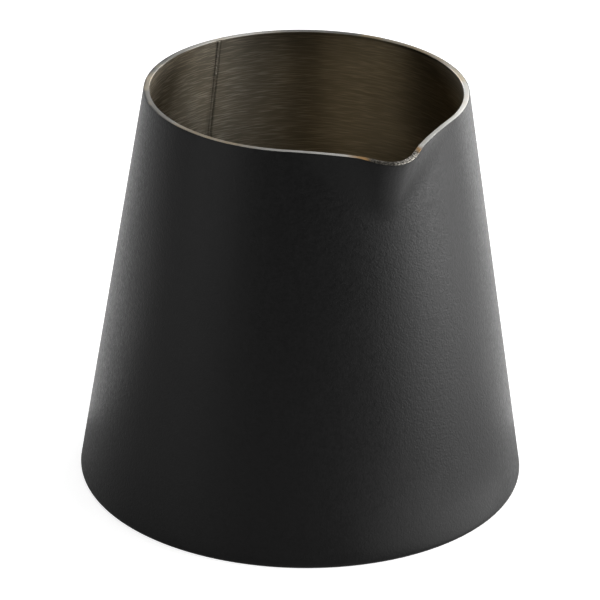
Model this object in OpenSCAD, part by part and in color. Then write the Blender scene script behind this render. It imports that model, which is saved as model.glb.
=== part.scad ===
// Handleless milk frothing pitcher: a cone of welded steel sheet, wide at the foot, with a pressed
// pouring spout and a thin black coat outside.
// Millimetres and degrees. +Z is up, the floor is z = 0, the origin is the centre of the foot,
// and the spout points along +X.

/* [Body] */
// Diameter of the foot, where the wall's line meets the floor
foot_d = 90; // [84:1:100]
// Height of the rim
body_h = 82.5; // [75:0.5:95]
// Lean of the wall towards the axis
taper = 9; // [7:0.5:10]
// Thickness of the wall's steel sheet
sheet_t = 1.1; // [0.8:0.1:1.4]
// Thickness of the black coat
coat_t = 0.1; // [0.06:0.02:0.2]
// Outer radius of the rounded corner at the foot
foot_r = 1.2; // [1:0.1:1.6]
// Depth ground off the foot to make it stand flat
foot_ground = 0.15; // [0.1:0.05:0.3]

/* [Spout] */
// How far the spout's tip stands out from the round rim
spout_reach = 6.7; // [4:0.1:8]
// Inner radius of the spout's nose
nose_r = 6.2; // [5:0.1:8]
// Radius of the hollow flanks between the nose and the rim
flank_r = 115; // [60:5:160]
// Height over which the spout fades into the wall
spout_depth = 14; // [10:1:22]
// Power of the fade: 1 is a straight ridge, 2 flares at the lip
spout_fade = 1.5; // [1:0.1:2.2]
// Width of the spout where it dies out, as a share of its width at the lip
spout_narrow = 0.3; // [0.2:0.05:1]
// How far the lip dips at the tip
lip_dip = 0.8; // [0:0.1:1.5]

/* [Base plate] */
// Thickness of the pressed disc
base_t = 1; // [0.8:0.1:1.2]
// Width of the ring that the pitcher stands on
land_w = 4; // [3:0.5:6]
// Height that the middle of the disc is pressed up
base_rise = 1.3; // [0.8:0.1:2]
// Width of the sloping step round the raised middle
step_w = 2.4; // [1.6:0.2:4]

/* [Welds] */
// Direction of the side seam, counted from the spout
seam_angle = 187.8; // [150:0.2:210]
// Width of the side seam's bead
seam_w = 1.2; // [0.8:0.1:1.8]
// How far the side seam's bead stands proud inside
seam_crown = 0.12; // [0.05:0.01:0.2]
// Width of the base weld on the underside
base_weld_w = 1.3; // [1:0.1:2]
// Size of the base weld's fillet inside
base_fillet = 0.7; // [0.4:0.1:1]

/* [Hidden] */

spout_half = 36;             // the spout lies within this angle each way
spout_columns = 48;          // strips of facets across the spout
round_columns = 40;          // strips from the spout round to the seam, on each side
spout_rows = 12;             // rows of facets over the spout's height
arc_steps = 5;               // facets round the foot corner
step_rows = 8;               // facets across the base plate's step
lip_power = 4;               // keeps the lip level until close to the tip
plate_gap = 0.25;            // root gap between the base plate and the wall

sheet_w = sheet_t / cos(taper);                   // thickness of the sheet, measured level
coat_w = coat_t / cos(taper);                     // thickness of the coat, measured level
rim_in = inner_r(body_h);                         // inner radius of the round rim
nose_x = rim_in + spout_reach - nose_r;           // centre of the nose

corner_z = foot_r - foot_ground;                  // centre of the foot corner's round section
corner_x = line_r(corner_z) - foot_r / cos(taper);
steel_foot_r = foot_r - coat_t;
wall_z = corner_z + steel_foot_r * sin(taper);    // where the wall ends and the base weld begins
plate_edge = inner_r(0) - base_weld_w;            // outer edge of the disc's standing face
fillet_z = base_t + base_fillet;                  // top of the base weld's fillet

// Radius of the coat's face, of the wall's bare inner face and of the steel under the coat
function line_r(z) = foot_d / 2 - z * tan(taper);
function inner_r(z) = line_r(z) - sheet_w - coat_w;
function steel_r(z) = inner_r(z) + sheet_w;

// Outline of the rim, as its radius in direction a: a round rim of radius rim_r, a nose of radius
// nose, and a hollow flank of radius flank that is tangent to both
function flank_end(rim_r, nose, flank) =
    acos(((rim_r + flank) ^ 2 + nose_x ^ 2 - (nose + flank) ^ 2) / (2 * (rim_r + flank) * nose_x));
function outline(a, rim_r, nose, flank) =
    let (
        end_a = flank_end(rim_r, nose, flank),
        centre = (rim_r + flank) * [cos(end_a), sin(end_a)],
        touch = [nose_x, 0] + (centre - [nose_x, 0]) * nose / (nose + flank),
        along = centre * [cos(a), sin(a)]
    )
    a >= end_a ? rim_r
    : a <= atan2(touch.y, touch.x) ? nose_x * cos(a) + sqrt(nose ^ 2 - (nose_x * sin(a)) ^ 2)
    : along - sqrt(along ^ 2 - centre * centre + flank ^ 2);

// How far the rim stands out in direction a, for the edge that lies w outside the inner one
function bulge(w, a) = outline(abs(a), rim_in + w, nose_r + w, flank_r - w) - rim_in - w;

// Height of the rim in direction a
function rim_z(a) = body_h - lip_dip * (bulge(0, a) / spout_reach) ^ lip_power;

// Face that lies w outside the wall's inner face, in direction a: from the lip down to where the
// spout has died out, as [radius, height]
function spout_line(w, a) = [
    for (k = [0 : spout_rows])
        let (
            u = k / spout_rows,
            z = rim_z(a) - spout_depth * u,
            width = 1 - (1 - spout_narrow) * u
        )
        [inner_r(z) + w + bulge(w, a / width) * (1 - u) ^ spout_fade, z]
];

// Round corner at the foot for a face of radius r, from angle a0 to angle a1
function foot_arc(r, a0, a1) = [
    for (k = [0 : arc_steps])
        let (a = a0 + (a1 - a0) * k / arc_steps)
        [corner_x + r * cos(a), corner_z + r * sin(a)]
];

// Angle at which a foot corner of radius r meets the floor
function floor_a(r) = -asin(corner_z / r);

function reversed(list) = [for (k = [len(list) - 1 : -1 : 0]) list[k]];

// Sections of the wall, of the side seam and of the coat in direction a, as closed loops
function wall_section(a) = concat(
    [[steel_r(wall_z), wall_z]],
    reversed(spout_line(sheet_w, a)),
    spout_line(0, a),
    [[inner_r(wall_z), wall_z]]
);
function seam_section() = [
    [steel_r(wall_z), wall_z], [steel_r(body_h), body_h],
    [inner_r(body_h) - seam_crown, body_h], [inner_r(fillet_z) - seam_crown, fillet_z],
    [inner_r(fillet_z), fillet_z], [inner_r(wall_z), wall_z]
];
function coat_section(a) = concat(
    foot_arc(foot_r, floor_a(foot_r), taper),
    reversed(spout_line(sheet_w + coat_w, a)),
    spout_line(sheet_w, a),
    foot_arc(steel_foot_r, taper, floor_a(steel_foot_r))
);

// A section stood up in direction a. At the seam, side -1 or 1 moves it to that edge of the bead.
function stood(section, a, side = 0) = [
    for (p = section)
        let (b = a + side * asin(seam_w / 2 / p.x))
        [p.x * cos(b), p.x * sin(b), p.y]
];

// Directions of the columns between the seam's two edges, once round past the spout
seam_back = seam_angle - 360;
columns = concat(
    [for (i = [1 : round_columns]) seam_back + (-spout_half - seam_back) * i / round_columns],
    [for (i = [1 : spout_columns]) spout_half * (2 * i / spout_columns - 1)],
    [for (i = [1 : round_columns - 1]) spout_half + (seam_angle - spout_half) * i / round_columns]
);

// Flat end of a swept solid whose loops have n points, as a strip between the loop's two sides
function end_strip(n) = [
    for (k = [0 : n / 2 - 2]) each [[k, k + 1, n - 2 - k], [k, n - 2 - k, n - 1 - k]]
];

// Solid swept through a list of loops of points. A closed one joins its last loop to its first.
module swept(loops, closed = false) {
    n = len(loops[0]);
    last = len(loops) - 1;
    sides = [
        for (i = [0 : closed ? last : last - 1], k = [0 : n - 1])
            let (a = i * n, b = (i + 1) % (last + 1) * n, next = (k + 1) % n)
            each [[a + k, b + next, b + k], [a + k, a + next, b + next]]
    ];
    ends = closed ? [] : concat(
        [for (face = end_strip(n)) reversed(face)],
        [for (face = end_strip(n)) [for (k = face) last * n + k]]
    );
    polyhedron([for (loop = loops) each loop], concat(sides, ends), convexity = 6);
}

// Rolled steel cone, open at the side seam, with the spout pressed into its rim
module body_wall() {
    color([0.42, 0.40, 0.36])
    swept(concat(
        [stood(wall_section(seam_back), seam_back, 1)],
        [for (a = columns) stood(wall_section(a), a)],
        [stood(wall_section(seam_angle), seam_angle, -1)]
    ));
}

// Weld bead that fills the gap in the wall and stands a little proud inside
module side_seam_weld() {
    color([0.62, 0.60, 0.55])
    swept([for (side = [-1, 1]) stood(seam_section(), seam_angle, side)]);
}

// Pressed disc: a flat standing ring and a raised middle, with a bevelled edge for the weld
module base_plate() {
    step_r = plate_edge - land_w;
    step = [
        for (k = [0 : step_rows])
            [step_r - step_w * k / step_rows, base_rise * (1 - cos(180 * k / step_rows)) / 2]
    ];
    color([0.60, 0.59, 0.57])
    rotate_extrude($fn = 180) polygon(concat(
        [[plate_edge, 0]], step,
        [[0, base_rise], [0, base_rise + base_t]],
        reversed([for (p = step) p + [0, base_t]]),
        [[inner_r(base_t) - plate_gap, base_t]]
    ));
}

// Ring of weld between the disc and the wall, ground round outside
module base_seam_weld() {
    color([0.55, 0.54, 0.52])
    rotate_extrude($fn = 180) polygon(concat(
        [[plate_edge, 0]],
        foot_arc(steel_foot_r, floor_a(steel_foot_r), taper),
        [
            [inner_r(wall_z), wall_z], [inner_r(fillet_z), fillet_z],
            [inner_r(base_t) - base_fillet, base_t], [inner_r(base_t) - plate_gap, base_t]
        ]
    ));
}

// Thin black coat on the outside, ground off flush at the rim and at the foot
module outer_coating() {
    color([0.10, 0.10, 0.10])
    swept(concat(
        [stood(coat_section(seam_back), seam_back, 1)],
        [for (a = columns) stood(coat_section(a), a)],
        [stood(coat_section(seam_angle), seam_angle, -1)]
    ), closed = true);
}

body_wall();
side_seam_weld();
base_plate();
base_seam_weld();
outer_coating();
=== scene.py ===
import math

import bpy
import numpy as np
from mathutils import Matrix, Vector


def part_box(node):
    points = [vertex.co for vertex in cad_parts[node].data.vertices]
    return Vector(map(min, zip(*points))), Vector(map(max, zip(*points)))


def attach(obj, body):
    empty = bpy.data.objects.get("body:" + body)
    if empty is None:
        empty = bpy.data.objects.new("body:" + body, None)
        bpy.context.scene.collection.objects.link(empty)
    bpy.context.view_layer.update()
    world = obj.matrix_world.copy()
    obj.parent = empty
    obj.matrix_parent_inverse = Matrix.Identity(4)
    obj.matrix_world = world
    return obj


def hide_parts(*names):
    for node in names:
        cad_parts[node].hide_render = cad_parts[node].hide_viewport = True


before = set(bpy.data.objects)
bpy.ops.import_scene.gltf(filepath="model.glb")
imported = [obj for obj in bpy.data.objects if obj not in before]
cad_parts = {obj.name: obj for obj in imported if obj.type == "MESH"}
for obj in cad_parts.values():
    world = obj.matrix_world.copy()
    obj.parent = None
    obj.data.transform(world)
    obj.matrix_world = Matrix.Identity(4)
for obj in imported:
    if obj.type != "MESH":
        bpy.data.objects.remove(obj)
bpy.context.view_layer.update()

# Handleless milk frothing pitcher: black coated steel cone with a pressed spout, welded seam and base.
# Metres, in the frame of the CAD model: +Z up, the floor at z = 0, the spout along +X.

# ---------------------------------------------------------------- sizes
MM = 0.001
TAPER = math.radians(9)
SHEET = 1.1 * MM                       # thickness of the steel
COAT = 0.1 * MM                        # thickness of the black coat
FOOT_R = 1.2 * MM                      # outer radius of the foot's corner
FOOT_GROUND = 0.15 * MM                # depth ground off the foot
SHEET_W = SHEET / math.cos(TAPER)      # the same thicknesses, measured level
COAT_W = COAT / math.cos(TAPER)

# The rim's ground face: millimetres in from its outer edge, and millimetres above the rim's height
RIM_FLAT = [(0.00, -0.06), (0.03, -0.015), (0.08, 0.0), (0.30, 0.0), (0.55, 0.0), (0.80, 0.0)]
RIM_ROUND = 0.26 * MM                  # roll-off at the rim's inner edge
EDGE_STEPS = 6                         # facets of that roll-off
EDGE_INSIDE = 4                        # this many of them are brushed, not ground
COAT_LOW = 0.03 * MM                   # the coat's edge lies this far below the rim
COAT_CHAMFER = 0.05 * MM

RIM_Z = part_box("body_wall")[1].z
WALL_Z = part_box("body_wall")[0].z      # where the wall ends and the base weld begins
FOOT_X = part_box("outer_coating")[1].x  # widest radius, at the foot's corner
CORNER_Z = FOOT_R - FOOT_GROUND
CORNER_X = FOOT_X - FOOT_R
LINE_R0 = CORNER_X + CORNER_Z * math.tan(TAPER) + FOOT_R / math.cos(TAPER)

SPOUT_REACH = 6.7 * MM
NOSE_R = 6.2 * MM
FLANK_R = 115 * MM
SPOUT_DEPTH = 14 * MM
SPOUT_FADE = 1.5
SPOUT_NARROW = 0.3
LIP_DIP = 0.8 * MM
LIP_POWER = 4
LIP_FROM, LIP_TO = math.radians(-9), math.radians(8)  # the lip is left unground between these
LIP_ROLL = 0.30 * MM                   # roll-off at the lip's outer edge
LIP_BARE = 0.40 * MM                   # the coat ends this far below the lip

SEAM_A = math.radians(187.8)           # direction of the side seam
SEAM_W = 1.2 * MM
BEAD_CROWN = 0.12 * MM                 # how far the seam's bead stands proud inside
BEAD_GROOVE = 0.06 * MM                # depth of the groove at each side of it
BEAD_EDGE = 0.58                       # the bead's share of the seam's width
DROPLET_R = 0.2 * MM
DROPLETS = [(3.5, 0.17), (5.3, 0.08), (6.2, 0.12), (7.5, 0.24), (10.0, 0.07)]  # depth, height, in mm
SEAM_DIR = Vector((math.cos(SEAM_A), math.sin(SEAM_A), 0))
SEAM_ACROSS = Vector((-SEAM_DIR.y, SEAM_DIR.x, 0))

BASE_T = 1.0 * MM
BASE_RISE = 1.3 * MM
LAND_W = 4.0 * MM
STEP_W = 2.4 * MM
BASE_WELD_W = 1.3 * MM
BASE_FILLET = 0.7 * MM
FILLET_HOLLOW = 0.16 * MM              # how far the base weld's fillet bellies in
FILLET_RIPPLE = 0.03 * MM
FILLET_RIPPLES = 230                   # ripples of the base weld, once round
PLATE_GAP = 0.25 * MM
HUB_R = 0.05 * MM                      # small flat face at the centre of the base


def line_r(z):
    """Radius of the coat's face."""
    return LINE_R0 - z * math.tan(TAPER)


def inner_r(z):
    """Radius of the wall's bare inner face."""
    return line_r(z) - SHEET_W - COAT_W


RIM_IN = inner_r(RIM_Z)
NOSE_X = RIM_IN + SPOUT_REACH - NOSE_R
PLATE_EDGE = inner_r(0) - BASE_WELD_W
FILLET_Z = BASE_T + BASE_FILLET


def outline(a, rim, nose, flank):
    """Radius in direction a of a round rim with a round nose and hollow flanks between them."""
    a = np.abs(a)
    far = rim + flank
    end = math.acos((far ** 2 + NOSE_X ** 2 - (nose + flank) ** 2) / (2 * far * NOSE_X))
    cx, cy = far * math.cos(end), far * math.sin(end)
    touch = math.atan2(cy * nose / (nose + flank), NOSE_X + (cx - NOSE_X) * nose / (nose + flank))
    along = cx * np.cos(a) + cy * np.sin(a)
    hollow = along - np.sqrt(np.maximum(along ** 2 - far ** 2 + flank ** 2, 0))
    on_nose = NOSE_X * np.cos(a) + np.sqrt(np.maximum(nose ** 2 - (NOSE_X * np.sin(a)) ** 2, 0))
    return np.where(a >= end, rim, np.where(a <= touch, on_nose, hollow))


def bulge(w, a):
    """How far the rim stands out in direction a, for the edge that lies w outside the inner one."""
    return outline(a, RIM_IN + w, NOSE_R + w, FLANK_R - w) - RIM_IN - w


def rim_z(a):
    """Height of the rim in direction a: level, but for the lip, which dips."""
    return RIM_Z - LIP_DIP * (bulge(0, a) / SPOUT_REACH) ** LIP_POWER


def face_r(w, a, z):
    """Radius of the face that lies w outside the wall's inner face, in direction a, at height z."""
    u = np.clip((rim_z(a) - z) / SPOUT_DEPTH, 0, 1)
    width = 1 - (1 - SPOUT_NARROW) * u
    return inner_r(z) + w + bulge(w, a / width) * (1 - u) ** SPOUT_FADE


def waves(a, z):
    """Slight waviness that rolling leaves in the sheet."""
    sway = 1.7 * np.sin(a * 2 + z / (31 * MM))
    return 0.012 * MM * (np.sin(7 * a + sway) + 0.7 * np.sin(13 * a + 2 + z / (23 * MM)))


# ---------------------------------------------------------------- mesh helpers
def new_piece(name, points, faces, node, materials, sharp=35):
    """A mesh piece that stands for a CAD node."""
    mesh = bpy.data.meshes.new(name)
    mesh.from_pydata([tuple(p) for p in points], [], faces)
    mesh.validate()
    for material in materials:
        mesh.materials.append(material)
    mesh.shade_smooth()
    mesh.set_sharp_from_angle(angle=math.radians(sharp))
    piece = bpy.data.objects.new(name, mesh)
    bpy.context.scene.collection.objects.link(piece)
    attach(piece, "root")
    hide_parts(node)
    return piece


def grid_faces(rows, cols, row_wrap, col_wrap):
    """Quads over a grid of rows x cols points, numbered row by row."""
    faces = []
    for i in range(rows if row_wrap else rows - 1):
        here, there = i * cols, (i + 1) % rows * cols
        for k in range(cols if col_wrap else cols - 1):
            after = (k + 1) % cols
            faces.append((here + k, there + k, there + after, here + after))
    return faces


def swept(loops, closed):
    """Points and faces of a solid swept through equal loops of points."""
    rows, cols = len(loops), len(loops[0])
    faces = grid_faces(rows, cols, closed, True)
    if not closed:
        faces.append(tuple(range(cols)))
        faces.append(tuple(range(rows * cols - 1, (rows - 1) * cols - 1, -1)))
    return [p for loop in loops for p in loop], faces


def revolved(profile, steps, wobble=None):
    """A closed profile of (radius, height) turned once round Z."""
    loops = []
    for i in range(steps):
        a = 2 * math.pi * i / steps
        shifted = profile if wobble is None else wobble(profile, a)
        loops.append([(r * math.cos(a), r * math.sin(a), z) for r, z in shifted])
    return swept(loops, closed=True)


def arc(cx, cz, r, a0, a1, steps):
    """Points of (radius, height) on a round arc from angle a0 to angle a1."""
    angles = [a0 + (a1 - a0) * k / steps for k in range(steps + 1)]
    return [(cx + r * math.cos(a), cz + r * math.sin(a)) for a in angles]


def smooth_step(x, low, high):
    """0 below low, 1 above high, and an even curve between them."""
    t = np.clip((x - low) / (high - low), 0, 1)
    return t * t * (3 - 2 * t)


def column_angles():
    """Directions of the wall's columns from one edge of the seam round to the other."""
    start = SEAM_A - 2 * math.pi
    nose, spout, coarse = math.radians(13), math.radians(38), math.radians(1.2)
    first = SEAM_W / inner_r(RIM_Z)
    return np.concatenate([
        np.arange(start + first, -spout, coarse),
        np.linspace(-spout, -nose, 50, endpoint=False),
        np.linspace(-nose, nose, 104, endpoint=False),
        np.linspace(nose, spout, 50, endpoint=False),
        np.arange(spout, SEAM_A - first, coarse),
    ])


SPOUT_ROWS, BODY_ROWS = 26, 16


def row_heights(a, bottom):
    """Heights of a face's rows from just under the lip down to the wall's end."""
    top = float(rim_z(a))
    spout = [top - SPOUT_DEPTH * k / SPOUT_ROWS for k in range(1, SPOUT_ROWS + 1)]
    low = spout[-1]
    return spout + [low + (bottom - low) * k / BODY_ROWS for k in range(1, BODY_ROWS + 1)]


def stood(section, a, side=0):
    """A section of (radius, height) stood up in direction a; side moves it to that edge of the seam."""
    points = []
    for r, z in section:
        b = a + side * math.asin(SEAM_W / 2 / r)
        points.append((r * math.cos(b), r * math.sin(b), z))
    return points


# ---------------------------------------------------------------- node helpers
class Shader:
    """Builds a procedural material, one short call per node."""

    def __init__(self, name):
        self.material = bpy.data.materials.new(name)
        self.material.use_nodes = True
        self.tree = self.material.node_tree
        self.surface = self.tree.nodes["Principled BSDF"]

    def node(self, kind, inputs=None, **settings):
        made = self.tree.nodes.new(kind)
        for key, value in settings.items():
            setattr(made, key, value)
        for key, value in (inputs or {}).items():
            self.feed(made.inputs[key], value)
        return made

    def feed(self, socket, value):
        if isinstance(value, bpy.types.NodeSocket):
            self.tree.links.new(value, socket)
        else:
            socket.default_value = value

    def math(self, operation, a, b=0.0):
        return self.node("ShaderNodeMath", {0: a, 1: b}, operation=operation).outputs[0]

    def add(self, a, b):
        return self.math("ADD", a, b)

    def times(self, a, b):
        return self.math("MULTIPLY", a, b)

    def position(self):
        """The shaded point, and its X, Y and Z, in metres."""
        point = self.node("ShaderNodeTexCoord").outputs["Object"]
        parts = self.node("ShaderNodeSeparateXYZ", {0: point}).outputs
        return point, parts[0], parts[1], parts[2]

    def combine(self, x, y):
        return self.node("ShaderNodeCombineXYZ", {0: x, 1: y}).outputs[0]

    def radius(self, x, y):
        """Distance from the Z axis."""
        return self.math("SQRT", self.add(self.times(x, x), self.times(y, y)))

    def noise(self, vector, scale, detail=2.0, roughness=0.5):
        inputs = {"Vector": vector, "Scale": scale, "Detail": detail, "Roughness": roughness}
        return self.node("ShaderNodeTexNoise", inputs).outputs[0]

    def remap(self, value, low, high, new_low=0.0, new_high=1.0, smooth=False):
        """value carried from the range low..high to new_low..new_high, and held at its ends."""
        kind = "SMOOTHSTEP" if smooth else "LINEAR"
        inputs = {"Value": value, "From Min": low, "From Max": high,
                  "To Min": new_low, "To Max": new_high}
        return self.node("ShaderNodeMapRange", inputs, interpolation_type=kind).outputs[0]

    def mix(self, factor, a, b, blend="MIX"):
        """Colour a, turning to colour b as factor goes from 0 to 1."""
        made = self.node("ShaderNodeMix", data_type="RGBA", blend_type=blend)
        self.feed(made.inputs[0], factor)
        self.feed(made.inputs[6], (*a, 1) if isinstance(a, tuple) else a)
        self.feed(made.inputs[7], (*b, 1) if isinstance(b, tuple) else b)
        return made.outputs[2]

    def bump(self, height, distance, strength=1.0):
        inputs = {"Height": height, "Distance": distance, "Strength": strength}
        return self.node("ShaderNodeBump", inputs).outputs[0]

    def near(self, x, y, direction, reach, strength):
        """strength in that direction round Z, fading to 0 at reach to each side, both in degrees."""
        off = self.math("ABSOLUTE", self.around(x, y, math.radians(direction) + math.pi))
        return self.remap(off, math.radians(0.4 * reach), math.radians(reach), strength, 0.0, smooth=True)

    def around(self, x, y, origin=0.0):
        """Angle round Z, in radians, with its jump at the direction origin."""
        turn = origin - math.pi
        cos, sin = math.cos(turn), math.sin(turn)
        u = self.add(self.times(x, cos), self.times(y, sin))
        v = self.add(self.times(y, cos), self.times(x, -sin))
        return self.math("ARCTAN2", v, u)

    def set(self, **values):
        for key, value in values.items():
            self.feed(self.surface.inputs[key.replace("_", " ")], value)

    def brush_round_axis(self, amount):
        """Scratches that run round Z, so that highlights spread across them."""
        tangent = self.node("ShaderNodeTangent", direction_type="RADIAL", axis="Z")
        self.set(Anisotropic=amount, Anisotropic_Rotation=0.25, Tangent=tangent.outputs[0])


# ---------------------------------------------------------------- materials
# Painted shade: the colour that the inside is darkened towards where it should look shaded.
PAINTED_SHADE_BROWN = (0.03, 0.027, 0.02)          # dark brown of the steel where little light comes back
# Direction and reach in degrees, counted from the spout, and strength: patches of painted shade on the
# rim, and heat tints
RIM_PAINTED_SHADE = [(-118, 52, 1.0), (146, 30, 0.75)]
HEAT_TINTS = [(-62, 20, 0.7), (78, 9, 0.5), (105, 26, 0.6), (128, 6, 0.8)]


def coat_material():
    """Satin black coat: fine grain, faint mottling and slow changes of sheen."""
    s = Shader("satin_black_coat")
    point = s.position()[0]
    grain = s.noise(point, 2700, 1, 0.5)
    mottle = s.noise(point, 1300, 3, 0.7)
    cloud = s.noise(point, 55, 3, 0.55)
    colour = s.mix(s.remap(mottle, 0.3, 0.7), (0.0030, 0.0030, 0.0030), (0.0062, 0.0062, 0.0062))
    rough = s.add(s.remap(mottle, 0.3, 0.7, 0.34, 0.50), s.remap(cloud, 0.3, 0.7, -0.015, 0.015))
    height = s.add(s.times(grain, 0.9), s.times(mottle, 1.0))
    s.set(Base_Color=colour, Roughness=rough, Metallic=0.0, IOR=1.28,
          Normal=s.bump(height, 0.08 * MM, 0.55))
    return s.material


def brushed_material(name, dull, bright, flat=False):
    """Bare steel brushed round the axis: short crossing streaks, blotches and a satin sheen.

    dull and bright are the colours between and on the streaks, each as a warm and a grey shade.
    The grey is near the side seam, where the inside is most lit: partly the steel's own tone, and on the
    streaks partly a painted highlight. Past the seam the streaks stand out more. flat is for the base.
    """
    s = Shader(name)
    point, x, y, z = s.position()
    along = s.times(s.around(x, y, SEAM_A), RIM_IN)
    across = s.add(s.radius(x, y), s.times(z, 0.2)) if flat else z

    def streaks(length, width, tilt, detail):
        shifted = s.add(across, s.times(along, tilt))
        where = s.combine(s.times(along, 1 / length), s.times(shifted, 1 / width))
        return s.noise(where, 1.0, detail, 0.6)

    def hairlines(length, width, tilt):
        return s.remap(streaks(length, width, tilt, 0), 0.57, 0.72)

    fine = streaks(4.5 * MM, 0.24 * MM, 0.04, 1)
    cross = streaks(7 * MM, 0.38 * MM, -0.06, 1)
    broad = streaks(25 * MM, 2.0 * MM, 0.01, 2)
    lines = s.add(hairlines(5 * MM, 0.26 * MM, 0.10), hairlines(4 * MM, 0.24 * MM, -0.05))
    mixed = s.add(s.times(fine, 0.44), s.add(s.times(cross, 0.34), s.times(broad, 0.12)))
    mixed = s.add(mixed, s.times(lines, 0.12))
    turned = s.around(x, y, SEAM_A - math.pi)
    away = s.math("ABSOLUTE", turned)
    coarse = s.remap(turned, math.radians(-65), math.radians(-30), 0.5, 0.78, smooth=True)
    past_seam = s.times(s.remap(turned, math.radians(-2), math.radians(5), smooth=True),
                        s.remap(turned, math.radians(70), math.radians(150), 1.0, 0.0, smooth=True))
    coarse = s.add(coarse, s.times(past_seam, 0.6))
    mixed = s.add(0.5, s.times(s.add(mixed, -0.5), coarse))
    # Partly painted highlight: near the seam, where the inside is most lit, the colours turn to the paler
    # grey shade.
    grey = s.remap(away, math.radians(5), math.radians(42), 0.8, 0.0, smooth=True)
    grey = s.math("MAXIMUM", grey, s.times(past_seam, 0.6))
    colour = s.mix(s.remap(mixed, 0.46, 0.62), s.mix(grey, *dull), s.mix(grey, *bright))
    blotch = s.noise(point, 70, 3, 0.55)
    colour = s.mix(s.remap(blotch, 0.4, 0.7, 0.0, 0.25), colour, (0.60, 0.50, 0.36), "MULTIPLY")
    rough = s.add(s.remap(mixed, 0.36, 0.64, 0.52, 0.42), s.remap(blotch, 0.3, 0.7, -0.03, 0.05))
    s.set(Roughness=rough, Metallic=1.0, Normal=s.bump(mixed, 0.022 * MM, 0.8))
    s.brush_round_axis(0.85)
    return s, point, x, y, away, colour


def inside_material(name, pale=0.0):
    """Inside of the wall and of its seam, with painted shade in lines along the undercut grooves beside
    the bead, in a patch round the wall and under the rim, and painted highlights on the weld's droplets.
    """
    dull = (0.25, 0.196, 0.115), (0.235, 0.214, 0.172)
    bright = (0.47, 0.378, 0.238), (0.62, 0.570, 0.476)
    s, point, x, y, away, colour = brushed_material(name, dull, bright)
    side = s.add(s.times(x, SEAM_ACROSS.x), s.times(y, SEAM_ACROSS.y))
    wander = s.times(s.add(s.noise(point, 260, 3, 0.7), -0.5), 0.5 * MM)
    here = s.math("LESS_THAN", away, 0.5)
    # Painted shade: dark lines along the undercut grooves beside the bead, made uneven by this noise.
    groove_shade_patchiness = s.remap(s.noise(point, 330, 3, 0.65), 0.38, 0.62, 0.25, 1.0)

    def groove_shade_line(centre, reach, strength):
        off = s.math("ABSOLUTE", s.add(s.add(side, wander), s.times(centre, -1.0)))
        return s.times(s.remap(off, 0.3 * reach, reach, strength, 0.0, smooth=True), here)

    z = s.position()[3]
    high = s.remap(z, RIM_Z - 13 * MM, RIM_Z - 7 * MM, smooth=True)
    spread = s.remap(z, RIM_Z - 16 * MM, RIM_Z - 5 * MM, 0.38 * MM, 0.0)
    left_groove_shade = s.times(groove_shade_line(-0.52 * MM, 0.40 * MM, 0.36), s.add(1.0, s.times(high, -0.45)))
    right_groove_shade = s.times(groove_shade_line(s.add(0.54 * MM, spread), 0.36 * MM, 0.28),
                         s.add(1.0, s.times(high, -0.2)))
    lines = s.add(left_groove_shade, right_groove_shade)
    # Painted shade: the inside is darkened round the direction 71 degrees from the seam.
    off_dim = s.math("ABSOLUTE", s.add(away, math.radians(-71)))
    dim = s.remap(off_dim, math.radians(7), math.radians(25), 0.2, 0.0, smooth=True)
    colour = s.mix(dim, colour, PAINTED_SHADE_BROWN)
    # Painted shade: a band under the rim is darkened, by an amount that changes round the wall, and the
    # top millimetre of the inside darker still, most away from the seam.
    band = s.remap(z, RIM_Z - 8 * MM, RIM_Z - 1 * MM, smooth=True)
    rolloff_shade = s.times(s.remap(z, RIM_Z - 0.9 * MM, RIM_Z - 0.3 * MM, smooth=True),
                   s.remap(away, math.radians(15), math.radians(75), 0.3, 0.8, smooth=True))
    shade = s.add(0.16, s.remap(away, math.radians(20), math.radians(75), 0.22, 0.0, smooth=True))
    shade = s.add(shade, s.remap(away, math.radians(75), math.radians(105), 0.0, 0.5, smooth=True))
    colour = s.mix(s.times(band, shade), colour, PAINTED_SHADE_BROWN)
    colour = s.mix(rolloff_shade, colour, PAINTED_SHADE_BROWN)
    colour = s.mix(pale, colour, (0.42, 0.39, 0.34))
    # The painted shade of the grooves, in near-black brown.
    colour = s.mix(s.times(lines, groove_shade_patchiness), colour, (0.035, 0.028, 0.016))
    wall_r = s.add(inner_r(0), s.times(z, -math.tan(TAPER)))
    # Painted highlight: the droplets that stand out past the bead are coloured near white.
    proud = s.remap(s.add(wall_r, s.times(s.radius(x, y), -1.0)), 0.16 * MM, 0.25 * MM)
    colour = s.mix(s.times(proud, here), colour, (0.88, 0.85, 0.80))
    s.set(Base_Color=colour)
    return s.material


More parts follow.
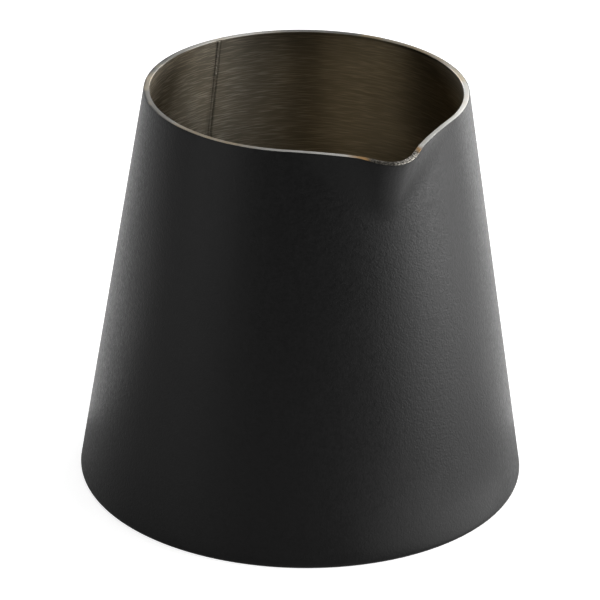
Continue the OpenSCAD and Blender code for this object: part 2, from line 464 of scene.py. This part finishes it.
def rim_material():
    """Ground rim: bright and finely scratched, tinted by heat, with painted shade at its left and back,
    dark and rough at the unground lip, which painted light brightens towards its right end.
    """
    s = Shader("ground_rim")
    point, x, y, z = s.position()
    angle = s.around(x, y, math.pi)
    speck = s.noise(point, 2600, 3, 0.7)
    cloud = s.noise(point, 420, 3, 0.6)
    tint = s.noise(point, 85, 2, 0.6)
    scratch = s.noise(s.combine(s.times(angle, 90), s.times(z, 8000)), 6.0, 3, 0.65)
    steel = s.mix(s.remap(scratch, 0.3, 0.7), (0.60, 0.585, 0.55), (0.84, 0.825, 0.79))
    # Painted shade: in these patches, at the left and the back as the camera sees the rim, the ground
    # face is darkened to grey, more so outwards, and to near black at its outer margin.
    rim_shade_mask = s.add(*[s.near(x, y, *patch) for patch in RIM_PAINTED_SHADE])
    from_inside = s.add(s.radius(x, y), -RIM_IN)
    outward = s.remap(from_inside, 0.35 * MM, 0.9 * MM, 0.78, 0.92)
    steel = s.mix(s.times(rim_shade_mask, outward), steel, (0.13, 0.124, 0.11))
    margin = s.remap(from_inside, 0.82 * MM, 1.0 * MM, 0.0, 0.8, smooth=True)
    steel = s.mix(s.times(rim_shade_mask, margin), steel, (0.02, 0.02, 0.02))
    steel = s.mix(s.remap(tint, 0.52, 0.72, 0.0, 0.6), steel, (0.70, 0.56, 0.36))
    for heated in HEAT_TINTS:
        uneven = s.times(s.near(x, y, *heated), s.remap(cloud, 0.35, 0.6, 0.5, 1.0))
        steel = s.mix(uneven, steel, (0.66, 0.50, 0.26))
    ragged = s.add(angle, s.times(s.add(cloud, -0.5), 0.05))
    on_left = s.remap(ragged, LIP_FROM - 0.02, LIP_FROM + 0.02, smooth=True)
    on_right = s.remap(ragged, LIP_TO - 0.02, LIP_TO + 0.02, 1.0, 0.0, smooth=True)
    lip = s.times(on_left, on_right)
    hot_left = s.remap(ragged, LIP_FROM - 0.11, LIP_FROM - 0.02, smooth=True)
    hot_right = s.remap(ragged, LIP_TO + 0.01, LIP_TO + 0.05, 1.0, 0.0, smooth=True)
    steel = s.mix(s.times(s.times(hot_left, hot_right), 0.9), steel, (0.40, 0.21, 0.045))
    # Painted light: the lip's pits and grain grow brighter towards its right end.
    lit = s.remap(angle, LIP_FROM + 0.06, LIP_TO - 0.06, smooth=True)
    pit = s.mix(lit, (0.02, 0.018, 0.015), (0.06, 0.055, 0.048))
    grain = s.mix(lit, (0.20, 0.185, 0.16), (0.62, 0.59, 0.53))
    colour = s.mix(lip, steel, s.mix(s.remap(speck, 0.44, 0.62), pit, grain))
    rough = s.add(s.remap(scratch, 0.3, 0.7, 0.44, 0.36), s.times(lip, 0.1))
    height = s.add(s.times(scratch, 0.3), s.times(s.times(speck, lip), 4.0))
    s.set(Base_Color=colour, Roughness=rough, Metallic=1.0,
          Normal=s.bump(height, 0.012 * MM, 0.8))
    s.brush_round_axis(0.75)
    return s.material


def weld_material():
    """Weld metal round the base: pale, slightly rough, with brown heat colours."""
    s = Shader("weld_steel")
    point = s.position()[0]
    patch = s.noise(point, 300, 3, 0.6)
    grain = s.noise(point, 2500, 2, 0.6)
    colour = s.mix(s.remap(patch, 0.35, 0.65), (0.30, 0.26, 0.20), (0.56, 0.52, 0.45))
    s.set(Base_Color=colour, Roughness=s.remap(grain, 0.3, 0.7, 0.30, 0.45), Metallic=1.0,
          Normal=s.bump(grain, 0.01 * MM, 0.6))
    return s.material


def base_material():
    """Pressed base: brushed in circles, inside and underneath."""
    dull, bright = (0.24, 0.22, 0.18), (0.50, 0.47, 0.41)
    made = brushed_material("brushed_steel_base", (dull, dull), (bright, bright), flat=True)
    s, colour = made[0], made[-1]
    s.set(Base_Color=colour)
    return s.material


# ---------------------------------------------------------------- pieces
def lip_share(a):
    """1 on the lip, which is left unground, falling to 0 beside it."""
    ease = math.radians(3)
    left = smooth_step(a, LIP_FROM - ease, LIP_FROM + ease)
    right = smooth_step(a, LIP_TO - ease, LIP_TO + ease)
    return float(left * (1 - right))


def rim_section(a):
    """Points over the rim from the steel's outer edge to its inner one, as (radius, height)."""
    top = float(rim_z(a))
    outer, inner = float(face_r(SHEET_W, a, top)), float(face_r(0, a, top))
    width = outer - inner
    roll = LIP_ROLL * lip_share(a)
    flat = [(outer - x * MM, top + z * MM - roll * (1 - x * MM / width) ** 2) for x, z in RIM_FLAT]
    edge = arc(inner + RIM_ROUND, top - RIM_ROUND, RIM_ROUND, math.pi / 2, math.pi, EDGE_STEPS)
    return [p for p in flat if outer - p[0] < width - RIM_ROUND] + edge


def wall_section(a):
    """Closed section of the wall: up the outer face, over the rim and down the inner face."""
    heights = row_heights(a, WALL_Z)
    outer = [(float(face_r(SHEET_W, a, z) + waves(a, z)), z) for z in reversed(heights)]
    inner = [(float(face_r(0, a, z) + waves(a, z)), z) for z in heights]
    return outer + rim_section(a) + inner


def make_wall(rim):
    """Rolled sheet with the spout pressed in; its rim has the ground finish rim."""
    start = SEAM_A - 2 * math.pi
    loops = [stood(wall_section(start), start, 1)]
    loops += [stood(wall_section(a), a) for a in column_angles()]
    loops.append(stood(wall_section(SEAM_A), SEAM_A, -1))
    points, faces = swept(loops, closed=False)
    wall = new_piece("rolled_wall", points, faces, "body_wall",
                     [inside_material("brushed_steel_inside"), rim])
    cols = len(loops[0])
    heights = SPOUT_ROWS + BODY_ROWS
    rim_from, rim_to = heights - 1, cols - heights - EDGE_INSIDE
    for polygon in wall.data.polygons[: (len(loops) - 1) * cols]:
        if rim_from <= polygon.index % cols < rim_to:
            polygon.material_index = 1
    return wall


def coat_section(a):
    """Closed section of the coat: outer face, ground edge at the rim, inner face, foot corner."""
    top = float(rim_z(a))
    heights = row_heights(a, WALL_Z)
    outer_w, inner_w = SHEET_W + COAT_W, SHEET_W
    outer = [(float(face_r(outer_w, a, z) + waves(a, z)), z) for z in reversed(heights)]
    inner = [(float(face_r(inner_w, a, z) + waves(a, z)), z) for z in heights]
    top -= LIP_BARE * lip_share(a)
    edge_out, edge_in = float(face_r(outer_w, a, top)), float(face_r(inner_w, a, top))
    edge = [(edge_out, top - COAT_LOW - COAT_CHAMFER), (edge_out - 0.03 * MM, top - COAT_LOW),
            (edge_in, top - COAT_LOW)]
    floor_out = -math.asin(CORNER_Z / FOOT_R)
    floor_in = -math.asin(CORNER_Z / (FOOT_R - COAT))
    corner_out = arc(CORNER_X, CORNER_Z, FOOT_R, floor_out, TAPER, 10)[:-1]
    corner_in = arc(CORNER_X, CORNER_Z, FOOT_R - COAT, TAPER, floor_in, 10)[1:]
    return corner_out + outer + edge + inner + corner_in


def make_coat():
    """Black skin over the outside, from the foot's corner to just under the rim."""
    start = SEAM_A - 2 * math.pi
    loops = [stood(coat_section(a), a) for a in [start, *column_angles()]]
    points, faces = swept(loops, closed=True)
    return new_piece("black_coat", points, faces, "outer_coating", [coat_material()])


def bead_lift(t):
    """Height of the bead over the wall across its width, t from -1 to 1: a crown and two grooves."""
    if abs(t) < BEAD_EDGE:
        return BEAD_CROWN * (1 - (t / BEAD_EDGE) ** 2)
    return -BEAD_GROOVE * math.sin(math.pi * (abs(t) - BEAD_EDGE) / (1 - BEAD_EDGE))


def droplet_lift(depth, across):
    """Height of the weld's droplets, depth below the rim and across from the middle of the bead."""
    lift = 0
    for centre, height in DROPLETS:
        off = math.hypot(depth - centre * MM, across - 0.05 * MM)
        lift += height * MM * math.exp(-(off / DROPLET_R) ** 2)
    return lift


def bead_point(r, z, t):
    """Point of the bead at radius r and height z, t from -1 to 1 across its width."""
    reach = t * SEAM_W / 2
    return SEAM_DIR * math.sqrt(r ** 2 - reach ** 2) + SEAM_ACROSS * reach + Vector((0, 0, z))


def make_side_weld(rim):
    """Bead with ripples and a few droplets near the rim, standing proud inside."""
    across, step = 20, 0.11 * MM
    rows = int((RIM_Z - WALL_Z) / step)
    loops = []
    for i in range(rows + 1):
        z = WALL_Z + (RIM_Z - WALL_Z) * i / rows
        fade = float(smooth_step(z, FILLET_Z, FILLET_Z + 2 * MM))
        end = float(smooth_step(z, RIM_Z - 0.5 * MM, RIM_Z))
        ripple = 1 + 0.16 * math.sin(z / (0.13 * MM)) + 0.2 * math.sin(z / (1.9 * MM) + 1)
        loop = []
        for k in range(across + 1):
            t = 2 * k / across - 1
            lift = bead_lift(t) * (ripple if abs(t) < 0.5 else 1) * fade * (1 - end)
            lift += droplet_lift(RIM_Z - z, t * SEAM_W / 2)
            lift -= 0.1 * MM * end
            loop.append(bead_point(inner_r(z) - lift, z, t))
        loop += [bead_point(inner_r(z) + SHEET_W, z, t) for t in (1, 0.5, 0, -0.5, -1)]
        loops.append(loop)
    points, faces = swept(loops, closed=False)
    weld = new_piece("side_weld_bead", points, faces, "side_seam_weld",
                     [inside_material("side_weld_steel", 0.15), rim])
    for polygon in weld.data.polygons:
        if polygon.center.z > RIM_Z - 0.01 * MM:
            polygon.material_index = 1
    return weld


def make_base():
    """Pressed disc: standing ring, sloping step and raised middle."""
    steps, rings = 16, 14
    step_r = PLATE_EDGE - LAND_W
    edge = [(PLATE_EDGE, 0.0), (PLATE_EDGE - 0.5 * LAND_W, 0.0)]
    step = [
        (step_r - STEP_W * k / steps, BASE_RISE * (1 - math.cos(math.pi * k / steps)) / 2)
        for k in range(steps + 1)
    ]
    middle = [(step[-1][0] * (1 - k / rings), BASE_RISE) for k in range(1, rings)]
    below = edge + step + middle
    above = [(r, z + BASE_T) for r, z in reversed(below[1:])]
    rim = [(inner_r(BASE_T) - PLATE_GAP, BASE_T)]
    turns = 256
    profile = below + [(HUB_R, BASE_RISE), (HUB_R, BASE_RISE + BASE_T)] + above + rim
    profile.reverse()
    points, faces = revolved(profile, turns)
    cols = len(profile)
    hub_high = cols - len(below) - 2
    hub_low = hub_high + 1
    faces = [f for f in faces if not {hub_high, hub_low} <= {i % cols for i in f}]
    faces.append(tuple(i * cols + hub_high for i in range(turns)))
    faces.append(tuple(i * cols + hub_low for i in reversed(range(turns))))
    return new_piece("pressed_base", points, faces, "base_plate",
                     [base_material()])


def make_base_weld():
    """Ring of weld: rippled fillet inside, ground round outside."""
    steel_r = FOOT_R - COAT
    corner = arc(CORNER_X, CORNER_Z, steel_r, -math.asin(CORNER_Z / steel_r), TAPER, 10)
    top = (inner_r(FILLET_Z), FILLET_Z)
    toe = (inner_r(BASE_T) - BASE_FILLET, BASE_T)
    fillet = [
        (top[0] + (toe[0] - top[0]) * t + FILLET_HOLLOW * math.sin(math.pi * t),
         top[1] + (toe[1] - top[1]) * t - FILLET_HOLLOW * math.sin(math.pi * t))
        for t in np.linspace(0, 1, 9)
    ]
    profile = [(PLATE_EDGE, 0.0)] + corner + [(inner_r(WALL_Z), WALL_Z)] + fillet
    profile.append((inner_r(BASE_T) - PLATE_GAP, BASE_T))
    first = 1 + len(corner) + 1

    def ripple(section, a):
        rippled = list(section)
        wave = FILLET_RIPPLE * math.sin(FILLET_RIPPLES * a)
        for k in range(1, len(fillet) - 1):
            r, z = section[first + k]
            lift = wave * math.sin(math.pi * k / (len(fillet) - 1))
            rippled[first + k] = (r - lift, z + lift)
        return rippled

    points, faces = revolved(profile, 1800, ripple)
    return new_piece("base_weld_ring", points, faces, "base_seam_weld",
                     [weld_material()])


# ---------------------------------------------------------------- stage
# The camera was fitted to the outline in the photo
CAMERA_A = math.radians(-27.63)        # direction of the camera, counted from the spout
CAMERA_E = math.radians(25.25)
CAMERA_DISTANCE = 0.7668
CAMERA_ROLL = math.radians(0.99)
CAMERA_LENS = 229.2
CAMERA_SIDE = -0.61 * MM               # the aim lies this far to the picture's left of the axis
CAMERA_AIM_Z = 36.77 * MM
WORLD_LIGHT = 0.03                     # strength of the surround as a light
FLOOR_GLOW = 0.7
FLOOR_GAP = 0.02 * MM                  # keeps the floor clear of the base's underside
SHEET_Z = 0.2 * MM                     # height of the bright sheets on the floor

# Softboxes: name, height above the floor in degrees, distance and size in metres, and the glow at
# each azimuth. The cards stand close, the low strips light the floor from behind, and a dim backdrop
# is above them. The glows began as a least-squares fit of these lights to the brightness of the
# photo, and some were then changed.
SOFTBOXES = [
    ("card", 3.4, 0.3, (0.08, 0.115), {60: 4.6, 75: 10.2, 90: 9.5, 105: 2.9, 135: 5.4}),
    ("card_left", 6, 0.3, (0.2, 0.14), {-60: 1.2}),
    ("box", 33, 1.0, (0.45, 0.38), {-60: 2.5, -30: 2.1, 30: 1.5, 60: 3.4, 90: 4.5}),
    ("strip", 4, 1.0, (0.52, 0.12), {-150: 5.6, -120: 3.4, 120: 6.2, 165: 1.7}),
    ("backdrop", 25, 1.0, (0.52, 0.26), {-150: 2.8, 180: 0.7, 150: 4.6}),
    ("top", 62, 1.0, (0.6, 0.4), {0: 0.7, 150: 1.4}),
]
# Bright sheets on the floor, behind and to the right, which the sides of the coat mirror:
# azimuth, distance, size and glow
FLOOR_SHEETS = [
    (180, 0.125, (0.44, 0.21), 0.9),
    (70, 0.08, (0.10, 0.07), 0.35),
    (50, 0.0625, (0.06, 0.034), 0.9),
]


def make_floor():
    """Large pale disc under the pitcher, with a glow that only the camera sees."""
    s = Shader("pale_floor")
    point = s.position()[0]
    tone = s.remap(s.noise(point, 9, 3), 0.3, 0.7)
    s.set(Base_Color=s.mix(tone, (0.72, 0.72, 0.72), (0.75, 0.75, 0.75)), Roughness=0.7)
    s.surface.inputs["Specular IOR Level"].default_value = 0.2
    seen = s.node("ShaderNodeLightPath").outputs["Is Camera Ray"]
    s.set(Emission_Color=(1, 1, 1, 1), Emission_Strength=s.times(seen, FLOOR_GLOW))
    radius, sides = 4.0, 96
    ring = [(radius * math.cos(2 * math.pi * k / sides), radius * math.sin(2 * math.pi * k / sides), 0)
            for k in range(sides)]
    mesh = bpy.data.meshes.new("floor")
    mesh.from_pydata(ring, [], [tuple(range(sides))])
    mesh.materials.append(s.material)
    floor = bpy.data.objects.new("floor", mesh)
    floor.location.z = -FLOOR_GAP
    bpy.context.scene.collection.objects.link(floor)


def make_light(name, azimuth, elevation, distance, size, glow):
    """Softbox aimed at the pitcher, as bright as its glow.

    Azimuth 0 is at the camera's side of the pitcher, and 90 is at the picture's right.
    """
    data = bpy.data.lights.new(name, "AREA")
    data.shape = "RECTANGLE"
    data.size, data.size_y = size
    data.energy = math.pi * size[0] * size[1] * glow
    lamp = bpy.data.objects.new(name, data)
    bpy.context.scene.collection.objects.link(lamp)
    a, e = CAMERA_A + math.radians(azimuth), math.radians(elevation)
    away = Vector((math.cos(a) * math.cos(e), math.sin(a) * math.cos(e), math.sin(e)))
    lamp.location = Vector((0, 0, RIM_Z / 2)) + away * distance
    lamp.rotation_euler = away.to_track_quat("Z", "Y").to_euler()
    lamp.visible_camera = False
    return lamp


def make_world():
    """Pale surround: white to the camera, softer as a light."""
    world = bpy.data.worlds.new("studio")
    world.use_nodes = True
    tree = world.node_tree
    soft = tree.nodes["Background"]
    soft.inputs["Color"].default_value = (1, 1, 1, 1)
    soft.inputs["Strength"].default_value = WORLD_LIGHT
    seen = tree.nodes.new("ShaderNodeBackground")
    seen.inputs["Color"].default_value = (1, 1, 1, 1)
    seen.inputs["Strength"].default_value = 1.0
    path = tree.nodes.new("ShaderNodeLightPath")
    mixed = tree.nodes.new("ShaderNodeMixShader")
    tree.links.new(path.outputs["Is Camera Ray"], mixed.inputs[0])
    tree.links.new(soft.outputs[0], mixed.inputs[1])
    tree.links.new(seen.outputs[0], mixed.inputs[2])
    tree.links.new(mixed.outputs[0], tree.nodes["World Output"].inputs["Surface"])
    bpy.context.scene.world = world


def make_camera():
    """Camera at the photo's viewing angle."""
    right = Vector((-math.sin(CAMERA_A), math.cos(CAMERA_A), 0))
    back = Vector((math.cos(CAMERA_A) * math.cos(CAMERA_E),
                   math.sin(CAMERA_A) * math.cos(CAMERA_E), math.sin(CAMERA_E)))
    aim = right * CAMERA_SIDE + Vector((0, 0, CAMERA_AIM_Z))
    data = bpy.data.cameras.new("camera")
    data.lens = CAMERA_LENS
    data.sensor_width = 36
    camera = bpy.data.objects.new("camera", data)
    bpy.context.scene.collection.objects.link(camera)
    turn = Matrix((right, back.cross(right), back)).transposed().to_4x4()
    camera.matrix_world = (Matrix.Translation(aim + back * CAMERA_DISTANCE)
                           @ turn @ Matrix.Rotation(CAMERA_ROLL, 4, "Z"))
    bpy.context.scene.camera = camera


def make_studio():
    bpy.context.scene.view_settings.view_transform = "Standard"
    make_floor()
    make_world()
    for name, elevation, distance, size, glows in SOFTBOXES:
        for azimuth, glow in glows.items():
            make_light("%s_%d" % (name, azimuth), azimuth, elevation, distance, size, glow)
    for azimuth, distance, size, glow in FLOOR_SHEETS:
        sheet = make_light("sheet_%d" % azimuth, azimuth, 0, distance, size, glow)
        sheet.location.z = SHEET_Z
        sheet.rotation_euler = (math.pi, 0, CAMERA_A + math.radians(azimuth + 90))


make_camera()
ground_rim = rim_material()
make_wall(ground_rim)
make_coat()
make_side_weld(ground_rim)
make_base()
make_base_weld()
make_studio()
